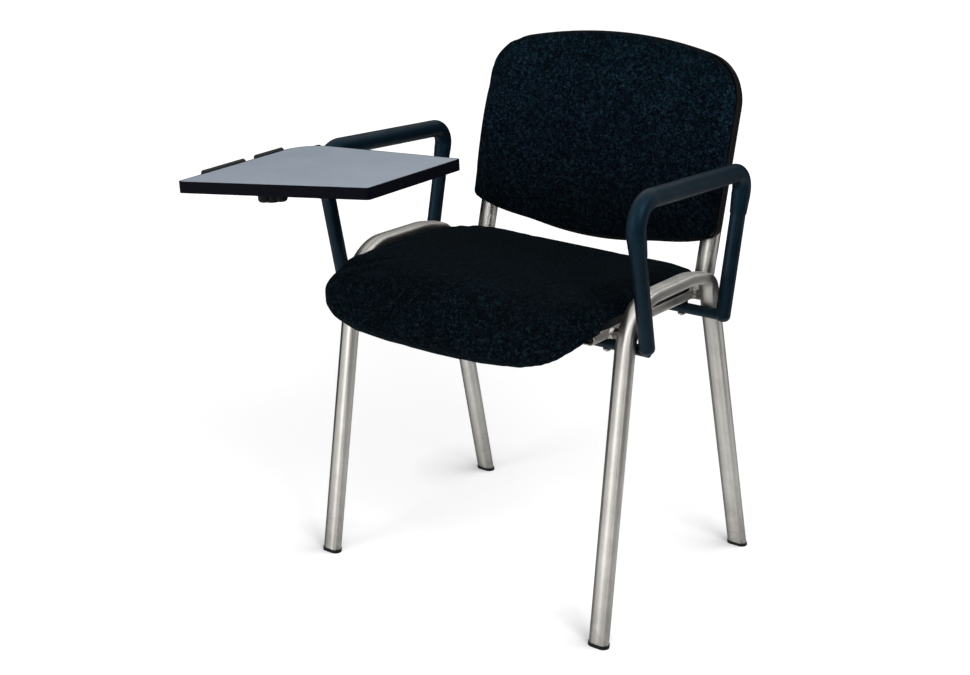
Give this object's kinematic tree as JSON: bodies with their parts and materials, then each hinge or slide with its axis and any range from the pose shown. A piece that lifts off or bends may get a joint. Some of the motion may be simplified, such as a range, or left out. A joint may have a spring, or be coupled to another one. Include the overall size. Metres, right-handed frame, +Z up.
{
  "type": "chair with writing tablet",
  "caption": "Stacking conference chair on bent oval-tube legs, with upholstered seat and back, tube armrests and a hinged writing tablet on the sitter's right",
  "frame": {"origin": "on the floor under the middle of the whole object's box", "axes": "+Z up, -Y the way the sitter faces, +X the sitter's left"},
  "size_m": [0.605, 0.7356, 0.8222],
  "materials": {
    "frame_tube": "satin",
    "arm_tube": "satin",
    "hinge_metal": "satin",
    "fastener": "satin",
    "arm_skin": "satin",
    "moulded_black": "matte",
    "rubber": "matte",
    "plywood": "matte",
    "upholstery": "matte",
    "tablet_laminate": "satin",
    "tablet_edge": "satin"
  },
  "bodies": {
    "chair": {"leg_frame_left": "frame_tube", "seat_rail_left": "frame_tube", "foot_cap_front_left": "moulded_black", "leg_spacer_front_left": "frame_tube", "foot_cap_rear_left": "moulded_black", "leg_spacer_rear_left": "frame_tube", "arm_loop_left": "arm_tube", "arm_pad_left": "arm_skin", "leg_frame_right": "frame_tube", "seat_rail_right": "frame_tube", "foot_cap_front_right": "moulded_black", "leg_spacer_front_right": "frame_tube", "foot_cap_rear_right": "moulded_black", "leg_spacer_rear_right": "frame_tube", "arm_loop_right": "arm_tube", "arm_pad_right": "arm_skin", "cross_tube_front": "frame_tube", "hinge_arm_leaf_front": "hinge_metal", "hinge_pin_front": "hinge_metal", "cross_tube_rear": "frame_tube", "hinge_arm_leaf_rear": "hinge_metal", "hinge_pin_rear": "hinge_metal", "seat_board": "plywood", "seat_cover": "moulded_black", "seat_pad": "upholstery", "seat_bolts": "fastener", "arm_bolts": "fastener", "arm_foot_spacers": "moulded_black", "back_board": "plywood", "back_shell": "moulded_black", "back_pad": "upholstery", "back_screws": "fastener", "hinge_arm_screws": "fastener", "tablet_bracket": "hinge_metal", "clamp_jaw": "hinge_metal", "clamp_screws": "fastener"},
    "tablet": {"tablet_board": "tablet_laminate", "tablet_edge_band": "tablet_edge", "hinge_board_leaf_rear": "hinge_metal", "hinge_board_leaf_front": "hinge_metal", "hinge_board_screws": "fastener"},
    "knob": {"levelling_knob": "moulded_black", "levelling_screw": "fastener", "levelling_tip": "rubber"}
  },
  "joints": [
    {"name": "tablet_fold", "type": "hinge", "parent": "chair", "child": "tablet", "pos_m": [-0.27895, -0.21537, 0.66824], "axis": [0.1149, -0.9934, 0], "range_deg": [0, 100]},
    {"name": "knob_turn", "type": "hinge", "parent": "chair", "child": "knob", "pos_m": [-0.19226, -0.24964, 0.64801], "axis": [-0.052, -0.006, 0.9986], "range_deg": [-180, 180]}
  ]
}
